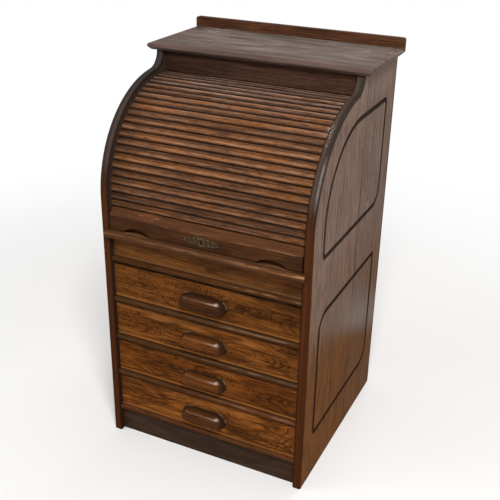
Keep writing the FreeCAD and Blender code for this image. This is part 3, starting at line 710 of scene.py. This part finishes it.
def brass_finish():
    """Aged brass: brown in its hollows, with golden crests worn bright."""
    look = Finish("aged_brass")
    tarnish = look.noise(look.place, (170.0, 170.0), detail=5.0, roughness=0.6)
    pits = look.noise(look.place, (1500.0, 1500.0), detail=2.0)
    plate_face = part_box("escutcheon")[0].y
    [y] = look.coords("y")
    crest = look.fall(y, plate_face - 0.0012, plate_face + 0.0008)
    look.colour = look.blend(look.fade(tarnish, 0.35, 0.65), (0.030, 0.019, 0.009), (0.085, 0.063, 0.029))
    look.lay((0.27, 0.21, 0.11), crest, 0.45)
    roughness = look.weighed(0.32, (tarnish, 0.3))
    look.height = look.weighed(0.0, (tarnish, 0.08), (pits, 0.03))
    return look.done(roughness, specular=0.5, bump=0.6, metallic=0.75)


def canvas_finish():
    """Unbleached canvas, with its weave, glued to the slats' backs."""
    look = Finish("curtain_canvas_weave")
    weave = 5200.0
    [x] = look.coords("x")
    along = look.product(look.curtain_place()[0], slat_back_radius)
    warp = look.calc("SINE", look.product(x, weave))
    weft = look.calc("SINE", look.product(along, weave))
    over = look.product(warp, weft)
    cloth = look.join(x, along, 0.0)
    slubs = look.noise(cloth, (60.0, 700.0))
    look.colour = look.blend(slubs, (0.30, 0.235, 0.15), (0.46, 0.385, 0.27))
    look.lay((0.18, 0.135, 0.085), look.fade(over, -1.0, 1.0), 0.3)
    look.lay((0.17, 0.115, 0.065), look.patches(cloth, (6.0, 6.0), 0.5, 0.75), 0.4)
    roughness = look.weighed(0.82, (slubs, 0.12))
    look.height = look.product(over, 0.08)
    return look.done(roughness, specular=0.15)


def floor_finish():
    """A plain pale floor that runs out into the white surround."""
    look = Finish("pale_floor")
    cloud = look.noise(look.place, (0.9, 0.9), detail=2.0)
    look.colour = look.blend(cloud, (0.88, 0.87, 0.86), (0.92, 0.91, 0.90))
    look.height = look.product(cloud, 0.1)
    near_desk = look.surface(0.85, specular=0.1, bump=0.1)
    far = look.fade(look.vector("LENGTH", look.place)["Value"], 0.7, 2.2)
    far_off = look.add("ShaderNodeEmission", {"Color": white, "Strength": 1.0}).outputs[0]
    share = look.product(look.seen(), far)
    return look.output(look.add("ShaderNodeMixShader", {0: share, 1: near_desk, 2: far_off}).outputs[0])


# Finishes on the CAD nodes


def dress(node, material):
    """Give a CAD node its finish."""
    piece = nodes[node]
    if not piece.material_slots:
        piece.data.materials.append(material)
    for slot in piece.material_slots:
        slot.material = material


def dress_curtain():
    slat_oak = slat_finish()
    for node in slat_names:
        dress(node, slat_oak)
    dress("lift_rail", lift_rail_finish())


def dress_case():
    """The sides, the top, and the boards and rails of the case."""
    dress("right_side", side_finish("right_side_oak", 1.0))
    dress("left_side", side_finish("left_side_oak", 2.0))
    dress("top_board", top_finish())
    dress("bed_nosing", nosing_finish())
    rail_oak = rail_finish()
    dress("drawer_rails", rail_oak)
    dress("bottom_board", rail_oak)
    dress("apron", board_finish(
        "apron_oak", "apron", "xzy", 41.0, (0.200, 0.075, 0.019), (0.105, 0.036, 0.009),
        (0.026, 0.011, 0.005), (0.22, 0.105, 0.04), wear=0.2, grime_and_edge_shade=0.1, foot=0.5, specular=0.02, rings=60.0,
        sway=9.0, ring_depth=0.35, flame=0.35, stain=0.75, dash=0.35))
    dress("gallery", board_finish(
        "gallery_oak", "gallery", "xzy", 47.0, (0.120, 0.048, 0.023), (0.062, 0.024, 0.012),
        (0.022, 0.010, 0.006), (0.05, 0.028, 0.02), specular=0.02, sway=6.0, ring_depth=0.4, flame=0.4,
        stain=0.35, dash=0.6, dash_size=(16.0, 260.0)))
    dress("fascia", board_finish(
        "fascia_oak", "fascia", "xzy", 53.0, (0.088, 0.043, 0.027), (0.045, 0.022, 0.014),
        (0.018, 0.009, 0.006), (0.12, 0.06, 0.03), wear=0.3, left_shade=0.6, specular=0.02, rings=100.0,
        sway=6.0, ring_depth=0.4, flame=0.5, stain=0.35))
    dress("plinth", board_finish(
        "plinth_oak", "plinth", "xzy", 59.0, (0.062, 0.032, 0.016), (0.032, 0.016, 0.009),
        (0.012, 0.007, 0.004), (0.08, 0.045, 0.025), wear=0.3, rough=0.5, rings=90.0, sway=5.0,
        ring_depth=0.4, flame=0.4, stain=0.4))


# How each drawer differs in tone, how strongly its upper edge is painted paler against the rail's shadow, and
# how dark the painted shadow in the gap above it is, from the top down
drawer_tones = ((0.71, 0.71, 0.74), (0.90, 0.87, 0.84), (0.81, 0.71, 0.63), (1.18, 1.13, 1.06))
drawer_crest_lights = (0.05, 0.25, 0.0, 0.05)
drawer_rail_shadows = (0.95, 0.6, 0.6, 0.6)

# Figures in each drawer's face: millimetres right of its middle and above it, half length and half height,
# where a length below zero turns the arches round, and the strength of tone
drawer_figures = (
    (("arch", 135, 8, 56, 22, 0.85), ("arch", 240, -10, -64, 32, 0.75), ("arch", -172, 2, 76, 15, 0.80),
     ("gold", 60, 36, 90, 9, 0.20)),
    (("arch", -90, 12, -66, 15, 0.60), ("arch", 205, -8, 52, 26, 0.85), ("arch", -195, -4, 66, 32, 0.40),
     ("gold", -130, 30, 52, 10, 0.40), ("gold", -15, 26, 72, 11, 0.55), ("gold", 130, 24, 50, 11, 0.35),
     ("arch", 222, 34, 62, 16, 0.65)),
    (("arch", -120, 10, 90, 20, 0.80), ("arch", 195, -4, -72, 22, 0.90), ("gold", 60, 30, 60, 10, 0.25)),
    (("arch", 98, -16, 48, 19, 0.75), ("arch", 210, -26, 62, 15, 0.70), ("arch", -180, -8, -64, 22, 0.55),
     ("gold", 30, 32, 120, 12, 0.30)))


def dress_drawers():
    """Oak fronts, each of its own tone and figure, and pine boxes and bottoms."""
    box_pine = inner_finish(
        "drawer_box_pine", "yzx", 71.0, (0.40, 0.255, 0.130), (0.265, 0.155, 0.072), (0.140, 0.075, 0.033),
        rings=130.0, sway=6.0, ring_depth=0.4, stain=0.3)
    bottom_pine = inner_finish(
        "drawer_bottom_pine", "xyz", 73.0, (0.42, 0.275, 0.145), (0.285, 0.170, 0.082), (0.155, 0.085, 0.038),
        rings=100.0, sway=8.0, ring_depth=0.4, stain=0.3)
    for index in range(drawer_count):
        number = index + 1
        node = "drawer_%d_front" % number
        tone = Vector(drawer_tones[index])
        dress(node, board_finish(
            "drawer_oak_%d" % number, node, "xzy", 30.0 + number, Vector((0.275, 0.096, 0.020)) * tone,
            Vector((0.122, 0.039, 0.0085)) * tone, (0.027, 0.010, 0.003), (0.34, 0.130, 0.034), wear=0.3,
            grime_and_edge_shade=0.1, specular=0.01, figures=drawer_figures[index], crest=drawer_crest_lights[index], foot=0.6,
            rail_shadow=drawer_rail_shadows[index], rings=80.0, sway=13.0, sway_length=4.0, ring_start=0.50,
            ring_depth=0.7, flame=0.7, flame_size=(9.0, 60.0), stain=0.6, fleck=0.75, dash=0.70,
            dash_size=(26.0, 380.0)))
        dress("drawer_%d_box" % number, box_pine)
        dress("drawer_%d_bottom" % number, bottom_pine)
    dress("drawer_guides", box_pine)


def dress_inside():
    """The writing bed, the nest, the back and the lock."""
    dress("writing_bed", board_finish(
        "bed_oak", "writing_bed", "xyz", 61.0, (0.185, 0.085, 0.036), (0.090, 0.040, 0.017),
        (0.034, 0.016, 0.008), (0.24, 0.12, 0.06), rings=70.0, sway=8.0, flame=0.5, stain=0.4))
    dress("back_boards", inner_finish(
        "back_pine", "zxy", 67.0, (0.27, 0.155, 0.075), (0.155, 0.085, 0.040), (0.070, 0.036, 0.017),
        sway=8.0, stain=0.4))
    nest_oak = inner_finish(
        "nest_oak", "xyz", 79.0, (0.210, 0.105, 0.046), (0.115, 0.053, 0.023), (0.050, 0.023, 0.011),
        rings=140.0, sway=6.0, ring_depth=0.4, stain=0.3)
    for node in ("nest_case", "nest_partitions"):
        dress(node, nest_oak)
    for node in ("lock_case", "lock_bolt", "strike_plate"):
        dress(node, aged_brass)


# New pieces


def keep_piece(name, shape, material, body, slot, *stood_for, sharp=40.0):
    """Make an object of a finished shape, and let it ride on its body."""
    bmesh.ops.remove_doubles(shape, verts=shape.verts, dist=1e-6)
    bmesh.ops.recalc_face_normals(shape, faces=shape.faces)
    mesh = bpy.data.meshes.new(name)
    shape.to_mesh(mesh)
    shape.free()
    mesh.shade_smooth()
    mesh.set_sharp_from_angle(angle=math.radians(sharp))
    mesh.materials.append(material)
    piece = bpy.data.objects.new(name, mesh)
    scene.collection.objects.link(piece)
    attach(piece, body)
    if stood_for:
        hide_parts(*stood_for)
    return piece


def near(a, b):
    return abs(a - b) < 1e-5


def flat_faces(shape, axis, level):
    return [face for face in shape.faces if all(near(vert.co[axis], level) for vert in face.verts)]


def end_edges(shape, level):
    """The edges at one height that run straight back, at the ends of the shape."""
    return [edge for edge in shape.edges
            if all(near(vert.co.z, level) for vert in edge.verts)
            and near(edge.verts[0].co.x, edge.verts[1].co.x)]


def rounded(shape, edges, radius, segments):
    bmesh.ops.bevel(
        shape, geom=edges, offset=radius, segments=segments, profile=0.5, affect="EDGES", material=-1)


def stepped(shape, faces, share, move):
    """Draws faces out by one step and brings them in about their own middle, and gives the new faces."""
    grown = bmesh.ops.extrude_face_region(shape, geom=faces)["geom"]
    points = [item for item in grown if isinstance(item, bmesh.types.BMVert)]
    bmesh.ops.delete(shape, geom=[face for face in faces if face.is_valid], context="FACES_KEEP_BOUNDARY")
    low = Vector([min(point.co[axis] for point in points) for axis in range(3)])
    high = Vector([max(point.co[axis] for point in points) for axis in range(3)])
    middle = (low + high) / 2
    bmesh.ops.scale(shape, vec=share, space=Matrix.Translation(-middle), verts=points)
    bmesh.ops.translate(shape, vec=move, verts=points)
    return [item for item in grown if isinstance(item, bmesh.types.BMFace)]


# The pulls: the rounds of the upper corners, the lower corners and the face's rim, how far the face is
# drawn in at its ends and its top, its dome, the walls and depth of the hollow below, and how far each step
# of the dome and the hollow's roof are brought in
pull_shoulder = 0.027
pull_heel = 0.0080
pull_nose = 0.0062
pull_draw_ends = 0.010
pull_draw_top = 0.0045
pull_dome = 0.0016
pull_dome_steps = (0.6, 0.3, 0.1)
pull_dome_share = (0.94, 1.0, 0.72)
pull_lip = 0.0016
pull_wall = 0.0035
pull_hollow = 0.022
pull_hollow_share = (0.92, 0.9, 1.0)

# The pale and the deep tone of each pull, from the top drawer down
pull_tones = (
    ((0.082, 0.029, 0.0100), (0.046, 0.016, 0.0056)), ((0.165, 0.050, 0.0110), (0.083, 0.026, 0.0060)),
    ((0.176, 0.053, 0.0115), (0.090, 0.028, 0.0062)), ((0.104, 0.037, 0.0118), (0.056, 0.020, 0.0065)))


def pull(number, material):
    """A carved pull: round shoulders, a soft domed face and a hollow below for the fingers."""
    node = "drawer_%d_handle" % number
    low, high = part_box(node)
    face_y = low.y + pull_dome
    size = Vector((high.x - low.x, high.y - face_y, high.z - low.z))
    middle = Vector((0, (high.y + face_y) / 2, (high.z + low.z) / 2))
    shape = bmesh.new()
    bmesh.ops.create_cube(shape, size=1.0)
    bmesh.ops.scale(shape, vec=size, verts=shape.verts)
    bmesh.ops.translate(shape, vec=middle, verts=shape.verts)
    rounded(shape, end_edges(shape, high.z), pull_shoulder, 12)
    rounded(shape, end_edges(shape, low.z), pull_heel, 6)
    front_points = [vert for vert in shape.verts if near(vert.co.y, face_y)]
    drawn_in = Vector((1 - 2 * pull_draw_ends / size.x, 1.0, 1 - pull_draw_top / size.z))
    bmesh.ops.scale(shape, vec=drawn_in, space=Matrix.Translation((0, 0, -low.z)), verts=front_points)
    rim = [edge for edge in shape.edges if all(near(vert.co.y, face_y) for vert in edge.verts)]
    rounded(shape, rim, pull_nose, 8)
    face = flat_faces(shape, 1, face_y)
    for step in pull_dome_steps:
        face = stepped(shape, face, pull_dome_share, (0, -pull_dome * step, 0))
    under = flat_faces(shape, 2, low.z)
    open_share = (1 - 2 * pull_wall / size.x, 1 - (pull_wall + pull_lip) / (high.y - face_y), 1.0)
    under = stepped(shape, under, open_share, (0, (pull_wall - pull_lip) / 2, 0))
    stepped(shape, under, pull_hollow_share, (0, 0, pull_hollow))
    return keep_piece(
        "carved_pull_%d" % number, shape, material, "drawer_%d" % number, "oak_handle", node, sharp=50.0)


# The escutcheon: its bars, the beads at their ends and its leaves, and the radius and thickness of the two
# rims round the keyhole, with how much taller than wide they are
bar_thickness = 0.0009
bead_swells = (1.25, 1.7)
leaf_thickness = 0.0024
keyhole_rims = ((0.0066, 0.0011), (0.0048, 0.0006))
keyhole_rim_height = 1.62
bars_off_rail = 0.0006

# Scrolls and leaves right of the keyhole, in millimetres from its middle: place, size and turn in degrees
scrolls = (
    (13.0, 2.2, 6.2, 215.0, -290.0),
    (25.5, -1.6, 5.4, 130.0, 285.0),
    (36.5, 1.4, 4.2, 220.0, -280.0),
)
leaves = (
    (8.6, 8.6, 9.0, 3.4, 55.0), (8.4, -8.0, 8.6, 3.2, -50.0), (19.0, 7.6, 9.0, 3.2, -28.0),
    (18.6, -6.8, 8.6, 3.0, 24.0), (30.5, 6.4, 8.0, 2.8, -24.0), (31.0, -6.2, 8.2, 2.8, 20.0),
    (43.4, -1.2, 8.0, 3.4, -18.0), (41.6, 5.0, 6.4, 2.4, 38.0), (13.2, 2.4, 4.6, 3.2, 20.0),
    (25.4, -1.6, 4.0, 2.8, -25.0), (36.6, 1.4, 3.2, 2.2, 15.0),
)


def added(shape, known):
    """What a shape holds beyond the points known before."""
    return [vert for vert in shape.verts if vert not in known]


def turned(shape, points, degrees):
    """Turns points about the keyhole's middle, in the plane of the rail's face."""
    turn = Matrix.Rotation(math.radians(-degrees), 3, "Y")
    bmesh.ops.rotate(shape, cent=(0, 0, 0), matrix=turn, verts=points)


def bent_bar(shape, centre, bend, start, sweep, thickness):
    """A round bar bent to an arc in the plane of the rail's face, with a bead at each end."""
    known = set(shape.verts)
    ring = bmesh.ops.create_circle(shape, segments=8, radius=thickness)["verts"]
    bmesh.ops.translate(shape, vec=(bend, 0, 0), verts=ring)
    turned(shape, ring, start)
    edges = list({edge for vert in ring for edge in vert.link_edges})
    whole = abs(sweep) >= 360
    bmesh.ops.spin(
        shape, geom=ring + edges, cent=(0, 0, 0), axis=(0, -1, 0), angle=math.radians(sweep),
        steps=max(8, int(abs(sweep) / 15)), use_merge=whole)
    if not whole:
        for angle, swell in zip((start, start + sweep), bead_swells):
            bead = bmesh.ops.create_uvsphere(
                shape, u_segments=10, v_segments=6, radius=thickness * swell)["verts"]
            turn = math.radians(angle)
            bmesh.ops.translate(shape, vec=(bend * math.cos(turn), 0, bend * math.sin(turn)), verts=bead)
    bmesh.ops.translate(shape, vec=centre, verts=added(shape, known))


def leaf(shape, centre, length, width, turn):
    """A small swelling leaf, laid flat on the rail's face."""
    blade = bmesh.ops.create_uvsphere(shape, u_segments=12, v_segments=8, radius=0.5)["verts"]
    bmesh.ops.scale(shape, vec=(length, leaf_thickness, width), verts=blade)
    turned(shape, blade, turn)
    bmesh.ops.translate(shape, vec=centre, verts=blade)


def foliate_escutcheon():
    """A cast escutcheon: an upright oval rim round the keyhole, between leafy scrolls."""
    low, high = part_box("escutcheon")
    middle = Vector((0, high.y - bars_off_rail, (low.z + high.z) / 2))
    shape = bmesh.new()
    for radius, thickness in keyhole_rims:
        known = set(shape.verts)
        bent_bar(shape, (0, 0, 0), radius, 0.0, 360.0, thickness)
        bmesh.ops.scale(shape, vec=(1.0, 1.0, keyhole_rim_height), verts=added(shape, known))
    rims = set(shape.verts)
    for x, z, bend, start, sweep in scrolls:
        bent_bar(shape, (x * millimetre, 0, z * millimetre), bend * millimetre, start, sweep, bar_thickness)
    for x, z, length, width, turn in leaves:
        leaf(shape, (x * millimetre, 0, z * millimetre), length * millimetre, width * millimetre, turn)
    bmesh.ops.holes_fill(shape, edges=[edge for edge in shape.edges if edge.is_boundary], sides=0)
    right_half = list({face for vert in added(shape, rims) for face in vert.link_faces})
    copy = bmesh.ops.duplicate(shape, geom=right_half)["geom"]
    mirrored = [item for item in copy if isinstance(item, bmesh.types.BMVert)]
    bmesh.ops.scale(shape, vec=(-1.0, 1.0, 1.0), verts=mirrored)
    bmesh.ops.translate(shape, vec=middle, verts=shape.verts)
    return keep_piece(
        "foliate_escutcheon", shape, aged_brass, "lift_rail", "brass", "escutcheon", sharp=60.0)


canvas_gap = 0.0002
canvas_thickness = 0.0006


def canvas_sheet():
    """The canvas behind the slats, bent round the curtain's axis."""
    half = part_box("curtain_canvas")[1].x
    radius = slat_back_radius - canvas_gap
    turn = curtain_head - curtain_foot
    shape = bmesh.new()
    foot_y = axis_y - radius * math.cos(curtain_foot)
    foot_z = axis_z + radius * math.sin(curtain_foot)
    ends = [shape.verts.new((x, foot_y, foot_z)) for x in (-half, half)]
    edge = shape.edges.new(ends)
    bmesh.ops.subdivide_edges(shape, edges=[edge], cuts=7)
    bmesh.ops.spin(
        shape, geom=shape.verts[:] + shape.edges[:], cent=(0, axis_y, axis_z), axis=(-1, 0, 0), angle=turn,
        steps=slat_count * 4, use_merge=False)
    bmesh.ops.recalc_face_normals(shape, faces=shape.faces)
    bmesh.ops.solidify(shape, geom=shape.faces[:], thickness=canvas_thickness)
    piece = keep_piece("curtain_canvas_sheet", shape, canvas_finish(), "tambour", "canvas", "curtain_canvas")
    return piece


# The stage: each lamp's place, size and power, the surround's light, and the camera's place and turns
floor_radius = 7.0
floor_drop = 0.0006
lamps = (
    ("front_lamp", (1.1, -2.0, 3.0), 0.9, 100.0),
    ("left_lamp", (-2.6, -1.6, 1.9), 2.0, 24.0),
    ("rear_lamp", (0.6, 2.7, 2.3), 2.2, 36.0),
)
lamp_aim = Vector((0.0, 0.0, 0.5))
surround_strength = 0.34
camera_place = (0.848578, -1.796024, 1.462848)
camera_turn = 25.190
camera_dip = 25.802
camera_roll = 1.075
camera_lens = 59.541
camera_sensor = 36.0


def stage_floor():
    shape = bmesh.new()
    bmesh.ops.create_circle(shape, cap_ends=True, segments=96, radius=floor_radius)
    mesh = bpy.data.meshes.new("floor")
    shape.to_mesh(mesh)
    shape.free()
    mesh.materials.append(floor_finish())
    floor = bpy.data.objects.new("floor", mesh)
    floor.location.z = -floor_drop
    scene.collection.objects.link(floor)


def stage_light():
    """Three soft lamps, and a surround that is white where it is seen."""
    for name, place, size, watts in lamps:
        lamp = bpy.data.lights.new(name, "AREA")
        lamp.size = size
        lamp.energy = watts
        holder = bpy.data.objects.new(name, lamp)
        holder.location = place
        holder.rotation_euler = (lamp_aim - Vector(place)).to_track_quat("-Z", "Y").to_euler()
        scene.collection.objects.link(holder)
    scene.world = bpy.data.worlds.new("white_surround")
    surround = Nodes(scene.world)
    soft, bright = (
        surround.add("ShaderNodeBackground", {"Color": white, "Strength": strength}).outputs[0]
        for strength in (surround_strength, 1.0))
    mixed = surround.add("ShaderNodeMixShader", {0: surround.seen(), 1: soft, 2: bright}).outputs[0]
    surround.add("ShaderNodeOutputWorld", {0: mixed})
    scene.view_settings.view_transform = "Standard"


def stage_camera():
    lens = bpy.data.cameras.new("camera")
    lens.lens = camera_lens
    lens.sensor_width = camera_sensor
    camera = bpy.data.objects.new("camera", lens)
    camera.matrix_world = (
        Matrix.Translation(camera_place)
        @ Matrix.Rotation(math.radians(camera_turn), 4, "Z")
        @ Matrix.Rotation(math.radians(90.0 - camera_dip), 4, "X")
        @ Matrix.Rotation(math.radians(camera_roll), 4, "Z"))
    scene.collection.objects.link(camera)
    scene.camera = camera


aged_brass = brass_finish()
dress_curtain()
dress_case()
dress_drawers()
dress_inside()
foliate_escutcheon()
for index, tones in enumerate(pull_tones):
    pull(index + 1, pull_finish(index + 1, *tones))
canvas_sheet()
stage_floor()
stage_light()
stage_camera()
